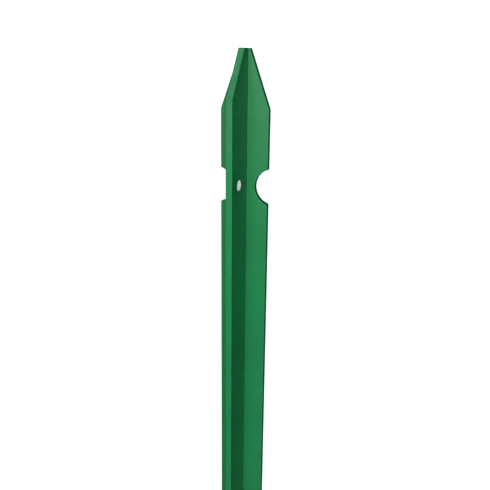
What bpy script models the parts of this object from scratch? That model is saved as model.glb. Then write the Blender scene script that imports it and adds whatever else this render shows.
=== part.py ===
"""Steel T-section fence post with a sheared point, wire notches and a punched wire hole.

The post lies on the back of its flange, as it comes to rest on the ground.
X runs across the flange, +Y points along the post towards its point and +Z runs up the stem.
The origin is on the flange back, in the middle of the post's length.
"""

import math

import bmesh
import bpy

# Rolled tee section, in metres
FLANGE_WIDTH = 0.030
SECTION_HEIGHT = 0.030
FLANGE_THICKNESS = 0.004
STEM_THICKNESS = 0.004

# Length of the whole post, from the square end to the flat of the point
POST_LENGTH = 1.500

# Sheared point: both flange arms and the stem taper towards a small flat end
FLANGE_TAPER_LENGTH = 0.034
FLANGE_TIP_STEP = 0.0009
STEM_TAPER_LENGTH = 0.028
STEM_TIP_HEIGHT = 0.010

# Round notch in each flange toe, measured from the point
NOTCH_TO_TIP = 0.080
NOTCH_RADIUS = 0.011
NOTCH_DEPTH = 0.008

# Punched hole through the stem for a line wire, measured from the point and the flange
HOLE_TO_TIP = 0.077
HOLE_DIAMETER = 0.0065
HOLE_ABOVE_FLANGE = 0.014

# Rounding that the thick coat leaves on every edge and in the two root corners
EDGE_RADIUS = 0.0004
EDGE_STEPS = 3
EDGE_ANGLE = math.radians(30.0)
RIM_ANGLE = math.radians(60.0)

# Faces that meet within this angle are one flat face
FLAT_ANGLE = math.radians(0.1)

# Facets around a full notch circle and around the hole
NOTCH_FACETS = 96
HOLE_FACETS = 40

# How far a cutter runs past the faces that it cuts
CUT_MARGIN = 0.005

# Coat colour (linear), roughness and metallic value
COAT_COLOR = (0.010, 0.200, 0.058, 1.0)
COAT_ROUGHNESS = 0.38
COAT_METALLIC = 0.0

TIP_Y = POST_LENGTH / 2
STEM_SIDE_X = STEM_THICKNESS / 2
TOE_X = FLANGE_WIDTH / 2
SIDES = {"left": -1, "right": 1}


def clear_scene():
    """Remove every object of the open scene."""
    for scene_object in list(bpy.data.objects):
        bpy.data.objects.remove(scene_object, do_unlink=True)


def new_collection(name):
    """Make a collection and link it to the scene."""
    collection = bpy.data.collections.new(name)
    bpy.context.scene.collection.children.link(collection)
    return collection


def coat_material():
    """Green coat over the whole post."""
    material = bpy.data.materials.new("green_coat")
    material.use_nodes = True
    shader = material.node_tree.nodes["Principled BSDF"]
    shader.inputs["Base Color"].default_value = COAT_COLOR
    shader.inputs["Roughness"].default_value = COAT_ROUGHNESS
    shader.inputs["Metallic"].default_value = COAT_METALLIC
    return material


def extruded_outline(name, outline, depth, collection, rotation=(0.0, 0.0, 0.0)):
    """Extrude a flat outline by depth, half to each side of its plane, as a closed mesh."""
    curve = bpy.data.curves.new(name, "CURVE")
    curve.dimensions = "2D"
    curve.fill_mode = "BOTH"
    curve.extrude = depth / 2
    spline = curve.splines.new("POLY")
    spline.points.add(len(outline) - 1)
    for point, (u, v) in zip(spline.points, outline):
        point.co = (u, v, 0.0, 1.0)
    spline.use_cyclic_u = True

    guide = bpy.data.objects.new(name + "_outline", curve)
    guide.rotation_euler = rotation
    collection.objects.link(guide)
    bpy.context.view_layer.update()
    graph = bpy.context.evaluated_depsgraph_get()
    mesh = bpy.data.meshes.new_from_object(guide.evaluated_get(graph))
    mesh.transform(guide.matrix_world)
    bpy.data.objects.remove(guide, do_unlink=True)
    bpy.data.curves.remove(curve)

    solid = bmesh.new()
    solid.from_mesh(mesh)
    bmesh.ops.remove_doubles(solid, verts=solid.verts, dist=0.00001)
    bmesh.ops.dissolve_limit(solid, angle_limit=FLAT_ANGLE, verts=solid.verts, edges=solid.edges)
    bmesh.ops.recalc_face_normals(solid, faces=solid.faces)
    solid.to_mesh(mesh)
    solid.free()
    mesh.name = name
    piece = bpy.data.objects.new(name, mesh)
    collection.objects.link(piece)
    return piece


def round_cutter(name, radius, depth, facets, collection, location, rotation=(0.0, 0.0, 0.0)):
    """Closed cylinder that cuts a notch or a hole."""
    mesh = bpy.data.meshes.new(name)
    solid = bmesh.new()
    bmesh.ops.create_cone(
        solid,
        cap_ends=True,
        segments=facets,
        radius1=radius,
        radius2=radius,
        depth=depth,
    )
    solid.to_mesh(mesh)
    solid.free()
    cutter = bpy.data.objects.new(name, mesh)
    cutter.location = location
    cutter.rotation_euler = rotation
    collection.objects.link(cutter)
    return cutter


def tee_outline():
    """Sharp outline of the section, with X across the flange and the second value up the stem."""
    return [
        (-TOE_X, 0.0),
        (TOE_X, 0.0),
        (TOE_X, FLANGE_THICKNESS),
        (STEM_SIDE_X, FLANGE_THICKNESS),
        (STEM_SIDE_X, SECTION_HEIGHT),
        (-STEM_SIDE_X, SECTION_HEIGHT),
        (-STEM_SIDE_X, FLANGE_THICKNESS),
        (-TOE_X, FLANGE_THICKNESS),
    ]


def shear_triangle(shoulder, tip):
    """Corner that a straight shear takes off, from a shoulder to the tip, run past both ends."""
    run = (tip[0] - shoulder[0], tip[1] - shoulder[1])
    scale = CUT_MARGIN / math.hypot(run[0], run[1])
    start = (shoulder[0] - run[0] * scale, shoulder[1] - run[1] * scale)
    end = (tip[0] + run[0] * scale, tip[1] + run[1] * scale)
    return [start, end, (start[0], end[1])]


def flange_shear(side, collection):
    """Cutter that tapers one arm of the flange, seen from above."""
    sign = SIDES[side]
    shoulder = (sign * TOE_X, TIP_Y - FLANGE_TAPER_LENGTH)
    tip = (sign * (STEM_SIDE_X + FLANGE_TIP_STEP), TIP_Y)
    depth = 2 * (SECTION_HEIGHT + CUT_MARGIN)
    return extruded_outline(side + "_flange_shear", shear_triangle(shoulder, tip), depth, collection)


def stem_shear(collection):
    """Cutter that tapers the stem, drawn with its height across and the post's length up."""
    shoulder = (SECTION_HEIGHT, TIP_Y - STEM_TAPER_LENGTH)
    tip = (STEM_TIP_HEIGHT, TIP_Y)
    depth = FLANGE_WIDTH + 2 * CUT_MARGIN
    upright = (0.0, -math.pi / 2, 0.0)
    return extruded_outline("stem_shear", shear_triangle(shoulder, tip), depth, collection, upright)


def toe_notch(side, collection):
    """Cutter for the round notch in one toe of the flange."""
    centre_x = TOE_X - NOTCH_DEPTH + NOTCH_RADIUS
    location = (SIDES[side] * centre_x, TIP_Y - NOTCH_TO_TIP, FLANGE_THICKNESS / 2)
    depth = FLANGE_THICKNESS + 2 * CUT_MARGIN
    return round_cutter(side + "_notch", NOTCH_RADIUS, depth, NOTCH_FACETS, collection, location)


def wire_hole(collection):
    """Cutter for the wire hole, across the stem."""
    location = (0.0, TIP_Y - HOLE_TO_TIP, FLANGE_THICKNESS + HOLE_ABOVE_FLANGE)
    depth = STEM_THICKNESS + 2 * CUT_MARGIN
    across = (0.0, math.pi / 2, 0.0)
    return round_cutter("wire_hole", HOLE_DIAMETER / 2, depth, HOLE_FACETS, collection, location, across)


def cut_with(piece, cutters):
    """Take each cutter out of the piece and leave the cutter as a wire guide."""
    for cutter in cutters:
        cutter.display_type = "WIRE"
        cutter.hide_render = True
        boolean = piece.modifiers.new("cut_" + cutter.name, "BOOLEAN")
        boolean.operation = "DIFFERENCE"
        boolean.solver = "EXACT"
        boolean.object = cutter


def round_edges(piece, name, angle):
    """Round each edge whose faces turn by more than the angle."""
    bevel = piece.modifiers.new(name, "BEVEL")
    bevel.width = EDGE_RADIUS
    bevel.segments = EDGE_STEPS
    bevel.limit_method = "ANGLE"
    bevel.angle_limit = angle
    bevel.use_clamp_overlap = False
    bevel.harden_normals = True


def build_post():
    """Model the post: a rolled length of tee, then its shears, notches and hole."""
    post_collection = new_collection("t_fence_post")
    cutter_collection = new_collection("cutters")
    along = (math.pi / 2, 0.0, 0.0)
    post = extruded_outline("post", tee_outline(), POST_LENGTH, post_collection, along)
    post.data.materials.append(coat_material())
    post.data.shade_smooth()

    cutters = [flange_shear(side, cutter_collection) for side in SIDES]
    cutters.append(stem_shear(cutter_collection))
    cutters += [toe_notch(side, cutter_collection) for side in SIDES]
    cut_with(post, cutters)
    round_edges(post, "coated_edges", EDGE_ANGLE)

    # The hole comes after the long edges are round, so that its cut doesn't pull their width about
    cut_with(post, [wire_hole(cutter_collection)])
    round_edges(post, "coated_rims", RIM_ANGLE)
    return post


clear_scene()
build_post()
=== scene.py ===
"""Looks of a T-section steel fence post with a smooth green coat.

The post lies on the flat back of its flange. X runs across the flange, +Y points along the post
towards its sheared point and +Z runs up the stem. A pale floor lies just under the flange.
"""

import math

import bmesh
import bpy
import numpy as np
from mathutils import Euler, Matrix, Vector


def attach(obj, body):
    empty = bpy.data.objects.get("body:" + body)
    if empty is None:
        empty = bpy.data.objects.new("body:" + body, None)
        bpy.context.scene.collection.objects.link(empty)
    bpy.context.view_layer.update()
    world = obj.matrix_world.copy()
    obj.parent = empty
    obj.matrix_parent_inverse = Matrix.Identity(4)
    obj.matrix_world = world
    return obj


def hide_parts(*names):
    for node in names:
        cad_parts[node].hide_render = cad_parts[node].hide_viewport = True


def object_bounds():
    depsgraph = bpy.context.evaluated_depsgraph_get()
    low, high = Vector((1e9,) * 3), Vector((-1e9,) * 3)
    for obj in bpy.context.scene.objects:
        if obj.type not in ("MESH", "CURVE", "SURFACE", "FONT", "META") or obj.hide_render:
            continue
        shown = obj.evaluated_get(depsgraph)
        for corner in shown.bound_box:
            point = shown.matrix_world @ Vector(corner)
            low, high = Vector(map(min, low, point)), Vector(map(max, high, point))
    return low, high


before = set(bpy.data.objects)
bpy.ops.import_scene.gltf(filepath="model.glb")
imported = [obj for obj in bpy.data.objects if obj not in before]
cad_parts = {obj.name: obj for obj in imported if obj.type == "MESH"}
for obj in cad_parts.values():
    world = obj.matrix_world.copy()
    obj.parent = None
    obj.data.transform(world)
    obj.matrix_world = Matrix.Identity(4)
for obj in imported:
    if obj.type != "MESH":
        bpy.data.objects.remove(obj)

CAD_BOX = [list(corner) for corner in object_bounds()]

# Ends and outer sides of the post in metres: the frame's box, rounded to a micrometre
BOX_DECIMALS = 6
SQUARE_END_Y = round(CAD_BOX[0][1], BOX_DECIMALS)
TOE_X, TIP_Y, SECTION_HEIGHT = [round(side, BOX_DECIMALS) for side in CAD_BOX[1]]

# Walls of the rolled tee section
FLANGE_THICKNESS = 0.004
STEM_THICKNESS = 0.004
STEM_SIDE_X = STEM_THICKNESS / 2

# Sheared point: where each slope starts, and what is left of it at the tip
FLANGE_TAPER_LENGTH = 0.034
FLANGE_TIP_STEP = 0.0009
STEM_TAPER_LENGTH = 0.028
STEM_TIP_Z = 0.010
FLANGE_SHOULDER_Y = TIP_Y - FLANGE_TAPER_LENGTH
FLANGE_TIP_X = STEM_SIDE_X + FLANGE_TIP_STEP
STEM_SHOULDER_Y = TIP_Y - STEM_TAPER_LENGTH

# Round notch in each flange toe
NOTCH_TO_TIP = 0.080
NOTCH_RADIUS = 0.011
NOTCH_DEPTH = 0.008
NOTCH_Y = TIP_Y - NOTCH_TO_TIP
NOTCH_CENTRE_X = TOE_X - NOTCH_DEPTH + NOTCH_RADIUS

# Wire hole through the stem, and half the side of the square field that is drawn around it
HOLE_TO_TIP = 0.077
HOLE_ABOVE_FLANGE = 0.014
HOLE_RADIUS = 0.00325
HOLE_FIELD = 0.0064
HOLE_Y = TIP_Y - HOLE_TO_TIP
HOLE_Z = FLANGE_THICKNESS + HOLE_ABOVE_FLANGE

# Rounding that the coat leaves on each edge, and how finely it is drawn
COAT_ROUND = 0.0004
CORNER_STEPS = 8
DISC_STEPS = 129

# Sections along the post: how many are drawn on each stretch
SECTION_COUNTS = {
    "end_round": 7,
    "notch": 34,
    "notch_lip": 8,
    "flange_shoulder": 13,
    "stem_shoulder": 17,
    "long_straight": 28,
    "short_straight": 14,
}

# Half the length of each rounded shoulder, and the step between sections on the slopes
FLANGE_BEND = 0.00015
STEM_BEND = 0.0002
SLOPE_STEP = 0.0005

# Gaps before and after each straight stretch: the long one runs from the square end to the notch,
# and the short one from the notch to the flange's shoulder
LONG_STRAIGHT_GAPS = (0.050, 0.030)
SHORT_STRAIGHT_GAPS = (0.014, 0.006)

# Sections that lie close beside a round and keep its shading off the flat next to it
BESIDE_LIP = np.array([0.00004, 0.0002, 0.0005])
BESIDE_SQUARE_END = np.array([COAT_ROUND + 0.0002, 0.004])
BESIDE_SHOULDER = np.array([0.0004, 0.004])
BESIDE_TIP = np.array([COAT_ROUND + 0.0001])

# Points on each straight run of the section, as shares of the run
BACK_SHARES = np.array([0.5, 0.99])
TOE_SHARES = np.array([0.06, 0.5, 0.94])
FLANGE_SHARES = np.array([0.01, 0.99])
STEM_SHARES = np.concatenate([[0.005], np.linspace(0.04, 0.96, 47), [0.995]])
CROWN_SHARES = np.array([0.08])

# Rings of points on the flat around the hole, as shares of the way from its rim to the field's edge
FIELD_SHARES = np.array([1.0, 0.8, 0.6, 0.4, 0.22, 0.08, 0.03])

# Distances below which two sections, two points or two values of X count as one
CLOSEST_PLACES = 0.000008
MERGE_DISTANCE = 0.0000008
SAME_PLACE = 0.0000001

# How far to each side of a place the slope of a line is read
SLOPE_REACH = 0.00001

# Coat: linear green, and how its gloss changes over the surface
COAT_DEEP = (0.0018, 0.189, 0.0540, 1.0)
COAT_FRESH = (0.0026, 0.213, 0.0620, 1.0)
COAT_ROUGHNESS = (0.42, 0.52)
COAT_IOR = 1.5

# Size of the coat's clouds of tone and of gloss, as noise scales, and how even a cloud is
TONE_SCALE = 26.0
GLOSS_SCALE = 140.0
DRIFT_DETAIL = 3.0
DRIFT_ROUGHNESS = 0.5
DRIFT_RANGE = (0.32, 0.68)

# Faint orange peel of the coat
PEEL_SCALE = 620.0
PEEL_DETAIL = 2.0
PEEL_STRENGTH = 0.35
PEEL_HEIGHT = 0.00008

# Wall of the wire hole: painted pale, painted light that stands in for the bright backdrop seen through
# the hole, inside the radius where the green stops
PAINTED_LIGHT_HOLE_WALL = (0.88, 0.89, 0.88, 1.0)
HOLE_WALL_ROUGHNESS = 0.60
PALE_WALL_RADIUS = HOLE_RADIUS + 0.00007
PALE_WALL_BLUR = 0.00005

# Pale floor: half its side, how far it lies under the flange, and its finish
WHITE = (1.0, 1.0, 1.0, 1.0)
FLOOR_REACH = 30.0
FLOOR_GAP = 0.00005
FLOOR_DARK = (0.29, 0.29, 0.29, 1.0)
FLOOR_LIGHT = (0.31, 0.31, 0.31, 1.0)
FLOOR_SCALE = 0.4
FLOOR_ROUGHNESS = 0.9

# Glow of the floor and the backdrop as the camera sees them, and of the air as the post sees it
BACKDROP_GLOW = 0.93
AIR_GLOW = 0.01

# Soft panels: place, what it faces, width and length, and brightness
PANELS = {
    "over_point": ((0.04, 0.88, 0.84), (0.0, 0.78, 0.0), (0.42, 0.50), 6.9),
    "right_of_point": ((0.62, 0.80, 0.90), (0.0, 0.66, 0.0), (0.50, 0.60), 6.0),
    "low_before_point": ((-0.38, 1.62, 0.44), (0.0, 0.74, 0.0), (0.40, 0.40), 4.1),
    "over_middle_left": ((-0.40, -0.25, 1.20), (0.0, -0.10, 0.0), (0.50, 1.20), 0.35),
    "over_far_right": ((0.45, -0.80, 1.10), (0.0, -0.62, 0.0), (0.60, 0.80), 2.2),
    "over_far_part": ((0.25, -0.45, 0.75), (0.0, -0.45, 0.0), (0.50, 0.80), 1.3),
    "far_left": ((-1.70, 0.10, 0.45), (0.0, 0.0, 0.0), (2.20, 0.80), 1.3),
    "behind_square_end": ((1.20, -3.40, 0.90), (0.0, 0.20, 0.0), (2.00, 1.00), 0.8),
}

# Camera, from the fit to the edges of the post in the picture, with its turn in degrees
CAMERA_PLACE = (0.115933, 0.744057, 0.335754)
CAMERA_TURN = (-17.4685, 19.2607, 0.6194)
CAMERA_LENS = 42.948
CAMERA_SENSOR = 36.0
CAMERA_CLIP = (0.01, 100.0)


def flange_line(y):
    """Half width of the flange along the post, with sharp corners.

    It is the smallest of three lines: the toe, the straight slope from the shoulder to the tip, and
    beside the notch the circle's centre less the root of its radius squared minus the run squared.
    """
    slope = (TOE_X - FLANGE_TIP_X) / (TIP_Y - FLANGE_SHOULDER_Y)
    sheared = FLANGE_TIP_X + slope * (TIP_Y - y)
    run = y - NOTCH_Y
    notched = NOTCH_CENTRE_X - np.sqrt(np.clip(NOTCH_RADIUS**2 - run**2, 0.0, None))
    return np.minimum(np.minimum(sheared, notched), TOE_X)


def stem_line(y):
    """Height of the stem along the post: the smaller of the full height and the straight slope."""
    slope = (SECTION_HEIGHT - STEM_TIP_Z) / (TIP_Y - STEM_SHOULDER_Y)
    return np.minimum(STEM_TIP_Z + slope * (TIP_Y - y), SECTION_HEIGHT)


def rolled(line, y):
    """A line whose outer corners are rounded, as a disc rolled along its inner side leaves it.

    The line is first set in: at each place it is the lowest value of the line less the disc's
    height, over the disc's width. It is then set out again by the highest of that plus the height.
    """
    angle = np.linspace(0.0, math.pi, DISC_STEPS)
    reach = -COAT_ROUND * np.cos(angle)
    rise = COAT_ROUND * np.sin(angle)
    inner = (line(y[:, None, None] + reach[:, None] + reach) - rise).min(axis=2)
    return (inner + rise).max(axis=1)


def stretch(line, y):
    """Length of a slanted line for each unit along the post: the root of one plus its slope squared."""
    slope = (rolled(line, y + SLOPE_REACH) - rolled(line, y - SLOPE_REACH)) / (2 * SLOPE_REACH)
    return np.sqrt(1.0 + slope**2)


def end_setback(y):
    """How far the section shrinks towards a rounded end: the rounding less the height of its arc."""
    past = np.maximum(y - (TIP_Y - COAT_ROUND), (SQUARE_END_Y + COAT_ROUND) - y)
    past = np.clip(past, 0.0, COAT_ROUND)
    return COAT_ROUND - np.sqrt(COAT_ROUND**2 - past**2)


def even_steps(name, start, stop):
    """Evenly spaced values from start to stop, as many as the named stretch has sections."""
    return np.linspace(start, stop, SECTION_COUNTS[name])


def half_notch():
    """Distances from the middle of a notch at which a section is drawn, on one side of it.

    In the notch they are its radius times the sine of an even angle. Its lip is a round that
    touches the toe and the notch. The cosine of the lip's angle is the distance across between the
    two centres, divided by the sum of the two radii.
    """
    both_radii = NOTCH_RADIUS + COAT_ROUND
    lip_turn = math.acos((NOTCH_CENTRE_X - TOE_X + COAT_ROUND) / both_radii)
    lip_start = both_radii * math.sin(lip_turn)
    notch = NOTCH_RADIUS * np.sin(even_steps("notch", 0.0, lip_turn))
    lip = lip_start - COAT_ROUND * np.sin(even_steps("notch_lip", 0.0, lip_turn))
    return np.concatenate([notch, lip, lip_start + BESIDE_LIP])


def places_along():
    """Places along the post where a section is drawn: close together where its outline changes.

    On the rounded ends they follow the sine of an even angle. On the shoulders, the slopes and the
    straight stretches they are evenly spaced.
    """
    end_round = COAT_ROUND - COAT_ROUND * np.sin(even_steps("end_round", 0.0, math.pi / 2))
    beside_notch = half_notch()
    slope_end = TIP_Y - COAT_ROUND - FLANGE_BEND
    long_start = SQUARE_END_Y + LONG_STRAIGHT_GAPS[0]
    long_stop = NOTCH_Y - LONG_STRAIGHT_GAPS[1]
    short_start = NOTCH_Y + SHORT_STRAIGHT_GAPS[0]
    short_stop = FLANGE_SHOULDER_Y - SHORT_STRAIGHT_GAPS[1]
    places = np.sort(np.concatenate([
        TIP_Y - end_round,
        SQUARE_END_Y + end_round,
        NOTCH_Y + beside_notch,
        NOTCH_Y - beside_notch,
        FLANGE_SHOULDER_Y + even_steps("flange_shoulder", -FLANGE_BEND, FLANGE_BEND),
        STEM_SHOULDER_Y + even_steps("stem_shoulder", -STEM_BEND, STEM_BEND),
        np.arange(FLANGE_SHOULDER_Y + SLOPE_STEP, slope_end, SLOPE_STEP),
        SQUARE_END_Y + BESIDE_SQUARE_END,
        FLANGE_SHOULDER_Y - BESIDE_SHOULDER,
        TIP_Y - BESIDE_TIP,
        even_steps("long_straight", long_start, long_stop),
        even_steps("short_straight", short_start, short_stop),
    ]))
    apart = np.append(True, np.diff(places) > CLOSEST_PLACES)
    return places[apart]


def round_corner(centre_x, centre_z, across, up, start, stop):
    """Quarter round of the section: its centre plus each reach times the cosine or sine of an angle."""
    angle = np.radians(np.linspace(start, stop, CORNER_STEPS + 1))
    x = centre_x[:, None] + across[:, None] * np.cos(angle)
    z = centre_z[:, None] + up[:, None] * np.sin(angle)
    return x, z


def straight_run(first, last, shares):
    """Points from the last point of one round to the first of the next, at the given shares.

    Each is the start times one less the share, plus the end times the share.
    """
    x = first[0][:, -1:] * (1.0 - shares) + last[0][:, :1] * shares
    z = first[1][:, -1:] * (1.0 - shares) + last[1][:, :1] * shares
    return x, z


def tee_sections(y):
    """Outline of the section at each place, as one closed loop of points: X and Z, place by point.

    The right half runs from the middle of the flange back round the toe, along the flange, up the
    stem and to its middle. Each corner is a quarter of an ellipse, and the root a quarter of a
    circle. The left half is the right one in reverse with X turned over.
    """
    setback = end_setback(y)
    left_over = COAT_ROUND - setback
    half_width = rolled(flange_line, y) - setback
    stem_top = rolled(stem_line, y) - setback
    toe_reach = left_over * stretch(flange_line, y)
    stem_reach = left_over * stretch(stem_line, y)
    flange_top = FLANGE_THICKNESS - setback
    stem_side = STEM_SIDE_X - setback
    root = COAT_ROUND + setback

    toe_x = half_width - toe_reach
    edge_x = stem_side - left_over
    edge_z = stem_top - stem_reach
    low_toe = round_corner(toe_x, setback + left_over, toe_reach, left_over, -90.0, 0.0)
    high_toe = round_corner(toe_x, flange_top - left_over, toe_reach, left_over, 0.0, 90.0)
    root_round = round_corner(stem_side + root, flange_top + root, root, root, 270.0, 180.0)
    stem_edge = round_corner(edge_x, edge_z, left_over, stem_reach, 0.0, 90.0)

    middle = np.zeros_like(y)[:, None]
    back = (middle, setback[:, None])
    crown = (middle, stem_top[:, None])
    runs = [
        back,
        straight_run(back, low_toe, BACK_SHARES),
        low_toe,
        straight_run(low_toe, high_toe, TOE_SHARES),
        high_toe,
        straight_run(high_toe, root_round, FLANGE_SHARES),
        root_round,
        straight_run(root_round, stem_edge, STEM_SHARES),
        stem_edge,
        straight_run(stem_edge, crown, CROWN_SHARES),
        crown,
    ]
    x = np.concatenate([run[0] for run in runs], axis=1)
    z = np.concatenate([run[1] for run in runs], axis=1)
    x = np.concatenate([x, -x[:, -2:0:-1]], axis=1)
    z = np.concatenate([z, z[:, -2:0:-1]], axis=1)
    return x, z


def woven_faces(rows, columns):
    """Four-sided faces of a grid of points whose last column joins its first, as point numbers.

    A point's number is its row times the number of columns, plus its column. Each face takes a
    point and the next one in its row, then the same two in the following row.
    """
    first = np.arange(rows - 1)[:, None] * columns
    column = np.arange(columns)
    following = (column + 1) % columns
    corners = [first + column, first + following, first + columns + following, first + columns + column]
    return np.stack(corners, axis=-1)


def hole_field(x, y, z):
    """Field around the hole, which the lining takes the place of on both sides of the stem.

    It gives the places along the post of its points, their heights up the right side, and for each
    face of the woven skin whether its middle lies in the field.
    """
    row = np.flatnonzero(np.abs(y - HOLE_Y) < HOLE_FIELD)
    row_x = x[row[0]]
    row_z = z[row[0]]
    on_side = np.abs(row_x - STEM_SIDE_X) < SAME_PLACE
    column = np.flatnonzero(on_side & (np.abs(row_z - HOLE_Z) < HOLE_FIELD))
    field_y = y[row]
    field_z = row_z[column]

    middle_x = np.abs((row_x + np.roll(row_x, -1)) / 2)
    middle_y = (y[1:] + y[:-1]) / 2
    middle_z = (row_z + np.roll(row_z, -1)) / 2
    in_row = (middle_y > field_y[0]) & (middle_y < field_y[-1])
    in_column = (middle_z > field_z[0]) & (middle_z < field_z[-1])
    in_column = in_column & (np.abs(middle_x - STEM_SIDE_X) < SAME_PLACE)
    return field_y, field_z, in_row[:, None] & in_column


def hole_lining(y, z):
    """Wall of the wire hole and the flat of the stem around it, as rings of points.

    The outer ring is the rectangle that is left open in the side of the stem. From it the rings
    change evenly into a circle, go round the coated rim as a quarter circle, run straight through
    the stem, and come out on the other side as they went in.
    """
    edge_y = np.concatenate([y[:-1], np.full(len(z) - 1, y[-1]), y[:0:-1], np.full(len(z) - 1, y[0])])
    edge_z = np.concatenate([np.full(len(y) - 1, z[0]), z[:-1], np.full(len(y) - 1, z[-1]), z[:0:-1]])
    angle = np.arctan2(edge_z - HOLE_Z, edge_y - HOLE_Y)

    share = FIELD_SHARES[:, None]
    turn = np.radians(np.linspace(0.0, 90.0, CORNER_STEPS + 1))[:, None]
    rim_radius = HOLE_RADIUS + COAT_ROUND * (1.0 - np.sin(turn))
    rim_x = STEM_SIDE_X - COAT_ROUND * (1.0 - np.cos(turn))
    outer = HOLE_RADIUS + COAT_ROUND
    face_y = share * edge_y + (1.0 - share) * (HOLE_Y + outer * np.cos(angle))
    face_z = share * edge_z + (1.0 - share) * (HOLE_Z + outer * np.sin(angle))
    rim_y = HOLE_Y + rim_radius * np.cos(angle)
    rim_z = HOLE_Z + rim_radius * np.sin(angle)

    half_y = np.concatenate([face_y, rim_y])
    half_z = np.concatenate([face_z, rim_z])
    half_x = np.concatenate([np.full_like(face_y, STEM_SIDE_X), np.broadcast_to(rim_x, rim_y.shape)])
    ring_y = np.concatenate([half_y, half_y[::-1]])
    ring_z = np.concatenate([half_z, half_z[::-1]])
    ring_x = np.concatenate([half_x, -half_x[::-1]])
    return np.stack([ring_x, ring_y, ring_z], axis=-1)


def scene_object(name, data):
    """New object with the given mesh, light or camera."""
    made = bpy.data.objects.new(name, data)
    bpy.context.scene.collection.objects.link(made)
    return made


def new_piece(name, points, faces, material):
    """Mesh piece from its points and faces: doubles merged, faces turned outwards, shaded smooth."""
    mesh = bpy.data.meshes.new(name)
    mesh.from_pydata(points.tolist(), [], faces)
    shell = bmesh.new()
    shell.from_mesh(mesh)
    bmesh.ops.remove_doubles(shell, verts=shell.verts, dist=MERGE_DISTANCE)
    bmesh.ops.dissolve_degenerate(shell, edges=shell.edges, dist=MERGE_DISTANCE)
    bmesh.ops.recalc_face_normals(shell, faces=shell.faces)
    shell.to_mesh(mesh)
    shell.free()
    mesh.shade_smooth()
    mesh.materials.append(material)
    return scene_object(name, mesh)


def coated_post(material):
    """The whole post: the section carried along its length, closed at both ends, with its hole.

    The faces of the stem's two sides that lie around the hole are left out, and the lining of the
    hole takes their place.
    """
    y = places_along()
    x, z = tee_sections(y)
    rows, columns = x.shape
    skin = np.stack([x, np.broadcast_to(y[:, None], x.shape), z], axis=-1)
    field_y, field_z, in_field = hole_field(x, y, z)
    skin_faces = woven_faces(rows, columns)[~in_field]
    lining = hole_lining(field_y, field_z)
    rings, around = lining.shape[:2]
    lining_faces = woven_faces(rings, around).reshape(-1, 4) + rows * columns

    # Only the points that a face uses are kept, and numbered anew
    points = np.concatenate([skin.reshape(-1, 3), lining.reshape(-1, 3)])
    fours = np.concatenate([skin_faces, lining_faces])
    kept, numbered = np.unique(fours, return_inverse=True)
    fours = numbered.reshape(fours.shape)
    square_end = np.arange(columns)
    point_end = np.searchsorted(kept, (rows - 1) * columns + np.arange(columns))
    faces = fours.tolist() + [square_end.tolist(), point_end.tolist()]
    return new_piece("coated_post", points[kept], faces, material)


def feed(tree, socket, source):
    """Give an input its value, or link it to another node's output."""
    if isinstance(source, bpy.types.NodeSocket):
        tree.links.new(source, socket)
    else:
        socket.default_value = source


def mixed(tree, kind, mask, first, second):
    """Mix of two colours or two numbers, each a value or an output: the second where the mask is one."""
    node = tree.nodes.new("ShaderNodeMix")
    node.data_type = kind
    feed(tree, node.inputs["Factor"], mask)
    feed(tree, node.inputs["A"], first)
    feed(tree, node.inputs["B"], second)
    return node.outputs["Result"]


def ranged(tree, value, source=(0.0, 1.0), result=(0.0, 1.0)):
    """Output moved evenly from one range on to another, and held within it."""
    node = tree.nodes.new("ShaderNodeMapRange")
    feed(tree, node.inputs["Value"], value)
    for part, ends in (("From", source), ("To", result)):
        node.inputs[part + " Min"].default_value = ends[0]
        node.inputs[part + " Max"].default_value = ends[1]
    return node.outputs["Result"]


def vector_step(tree, operation, first, second=None):
    """Vector Math node on one output, or on an output and a fixed vector."""
    node = tree.nodes.new("ShaderNodeVectorMath")
    node.operation = operation
    tree.links.new(first, node.inputs[0])
    if second is not None:
        node.inputs[1].default_value = second
    return node


def drift_group():
    """Slow cloudy change over a surface, about even: a soft noise on the given coordinates."""
    tree = bpy.data.node_groups.new("slow_drift", "ShaderNodeTree")
    tree.interface.new_socket("Place", in_out="INPUT", socket_type="NodeSocketVector")
    tree.interface.new_socket("Scale", in_out="INPUT", socket_type="NodeSocketFloat")
    tree.interface.new_socket("Drift", in_out="OUTPUT", socket_type="NodeSocketFloat")
    entry = tree.nodes.new("NodeGroupInput")
    leave = tree.nodes.new("NodeGroupOutput")
    noise = tree.nodes.new("ShaderNodeTexNoise")
    noise.inputs["Detail"].default_value = DRIFT_DETAIL
    noise.inputs["Roughness"].default_value = DRIFT_ROUGHNESS
    tree.links.new(entry.outputs["Place"], noise.inputs["Vector"])
    tree.links.new(entry.outputs["Scale"], noise.inputs["Scale"])
    tree.links.new(ranged(tree, noise.outputs["Fac"], DRIFT_RANGE), leave.inputs["Drift"])
    return tree


def drift_over(tree, group, place, scale):
    """Put the drift group into a material at its own scale and give its output."""
    node = tree.nodes.new("ShaderNodeGroup")
    node.node_tree = group
    node.inputs["Scale"].default_value = scale
    tree.links.new(place, node.inputs["Place"])
    return node.outputs["Drift"]


def painted_light_wall_mask(tree, place):
    """Mask that is one on the wall of the wire hole, where painted light stands in for the bright
    backdrop seen through the hole, and zero on the coat.

    It comes from the distance to the hole's axis, and changes over at the edge of the pale wall.
    """
    from_hole = vector_step(tree, "SUBTRACT", place, (0.0, HOLE_Y, HOLE_Z))
    from_axis = vector_step(tree, "MULTIPLY", from_hole.outputs["Vector"], (0.0, 1.0, 1.0))
    distance = vector_step(tree, "LENGTH", from_axis.outputs["Vector"])
    pale_wall_edge = (PALE_WALL_RADIUS + PALE_WALL_BLUR, PALE_WALL_RADIUS - PALE_WALL_BLUR)
    return ranged(tree, distance.outputs["Value"], pale_wall_edge)


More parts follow.
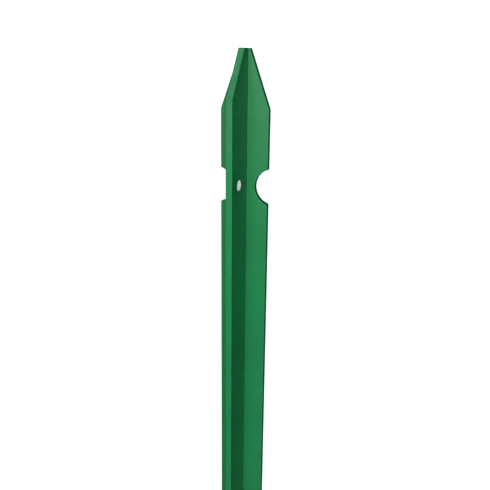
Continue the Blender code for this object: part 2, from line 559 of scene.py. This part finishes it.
def new_material(name):
    """New material, with its tree, its shader and the Object coordinates of what it is on."""
    material = bpy.data.materials.new(name)
    material.use_nodes = True
    tree = material.node_tree
    place = tree.nodes.new("ShaderNodeTexCoord").outputs["Object"]
    return material, tree, tree.nodes["Principled BSDF"], place


def coat_material(drift):
    """Smooth satin green coat, with a faint orange peel, cloudy gloss and a slight change of tone.

    At the wire hole its green gives way to a pale painted wall, painted light that stands in for the
    bright backdrop seen through the hole.
    """
    material, tree, shader, place = new_material("satin_green_coat")
    shader.inputs["Metallic"].default_value = 0.0
    shader.inputs["IOR"].default_value = COAT_IOR
    # Painted light: the hole's wall is painted pale to stand in for the bright backdrop seen through the
    # hole
    painted_wall = painted_light_wall_mask(tree, place)

    tone = mixed(tree, "RGBA", drift_over(tree, drift, place, TONE_SCALE), COAT_DEEP, COAT_FRESH)
    tree.links.new(mixed(tree, "RGBA", painted_wall, tone, PAINTED_LIGHT_HOLE_WALL), shader.inputs["Base Color"])

    gloss = ranged(tree, drift_over(tree, drift, place, GLOSS_SCALE), result=COAT_ROUGHNESS)
    tree.links.new(mixed(tree, "FLOAT", painted_wall, gloss, HOLE_WALL_ROUGHNESS), shader.inputs["Roughness"])

    peel = tree.nodes.new("ShaderNodeTexNoise")
    peel.inputs["Scale"].default_value = PEEL_SCALE
    peel.inputs["Detail"].default_value = PEEL_DETAIL
    tree.links.new(place, peel.inputs["Vector"])
    bump = tree.nodes.new("ShaderNodeBump")
    bump.inputs["Strength"].default_value = PEEL_STRENGTH
    bump.inputs["Distance"].default_value = PEEL_HEIGHT
    tree.links.new(peel.outputs["Fac"], bump.inputs["Height"])
    tree.links.new(bump.outputs["Normal"], shader.inputs["Normal"])
    return material


def floor_material(drift):
    """Plain pale matt floor, lit evenly from within as a light table is."""
    material, tree, shader, place = new_material("pale_floor")
    shader.inputs["Roughness"].default_value = FLOOR_ROUGHNESS
    shader.inputs["Specular IOR Level"].default_value = 0.0
    shader.inputs["Emission Color"].default_value = WHITE
    shader.inputs["Emission Strength"].default_value = BACKDROP_GLOW
    tone = mixed(tree, "RGBA", drift_over(tree, drift, place, FLOOR_SCALE), FLOOR_DARK, FLOOR_LIGHT)
    tree.links.new(tone, shader.inputs["Base Color"])
    return material


def pale_floor(material):
    """Large floor just under the flange back, which throws no light back on to the post."""
    corners = np.array([[-1.0, -1.0, 0.0], [1.0, -1.0, 0.0], [1.0, 1.0, 0.0], [-1.0, 1.0, 0.0]])
    points = corners * FLOOR_REACH + np.array([0.0, 0.0, -FLOOR_GAP])
    mesh = bpy.data.meshes.new("pale_floor")
    mesh.from_pydata(points.tolist(), [], [[0, 1, 2, 3]])
    mesh.materials.append(material)
    floor = scene_object("pale_floor", mesh)
    floor.visible_diffuse = False
    floor.visible_glossy = False


def soft_panel(name, place, target, size, glow):
    """Soft light panel that faces the target, and that the camera doesn't see.

    Its power is glow times pi times its area, so glow is its own brightness.
    """
    light = bpy.data.lights.new(name, "AREA")
    light.shape = "RECTANGLE"
    light.size, light.size_y = size
    light.energy = glow * math.pi * size[0] * size[1]
    panel = scene_object(name, light)
    panel.location = place
    facing = Vector(target) - Vector(place)
    panel.rotation_euler = facing.to_track_quat("-Z", "Y").to_euler()
    panel.visible_camera = False


def studio_lights():
    """Soft panels: round the point, over the rest of the post, along its left and behind its end."""
    for name, (place, target, size, glow) in PANELS.items():
        soft_panel(name, place, target, size, glow)


def studio_air():
    """Even dim light all round, which the camera sees as a pale backdrop."""
    world = bpy.data.worlds.new("pale_air")
    world.use_nodes = True
    tree = world.node_tree
    background = tree.nodes["Background"]
    background.inputs["Color"].default_value = WHITE
    seen = tree.nodes.new("ShaderNodeLightPath").outputs["Is Camera Ray"]
    strength = ranged(tree, seen, result=(AIR_GLOW, BACKDROP_GLOW))
    tree.links.new(strength, background.inputs["Strength"])
    bpy.context.scene.world = world


def picture_camera():
    """Camera at the picture's viewing angle, over the point and to the right of the stem."""
    camera_data = bpy.data.cameras.new("picture_camera")
    camera_data.sensor_width = CAMERA_SENSOR
    camera_data.lens = CAMERA_LENS
    camera_data.clip_start, camera_data.clip_end = CAMERA_CLIP
    camera = scene_object("picture_camera", camera_data)
    camera.location = CAMERA_PLACE
    camera.rotation_euler = Euler([math.radians(turn) for turn in CAMERA_TURN], "XYZ")
    bpy.context.scene.camera = camera


# Build the scene
bpy.context.scene.view_settings.view_transform = "Standard"
drift = drift_group()
post = coated_post(coat_material(drift))
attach(post, "root")
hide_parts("post")
pale_floor(floor_material(drift))
studio_lights()
studio_air()
picture_camera()

# Bring the scene's placements up to date
bpy.context.view_layer.update()
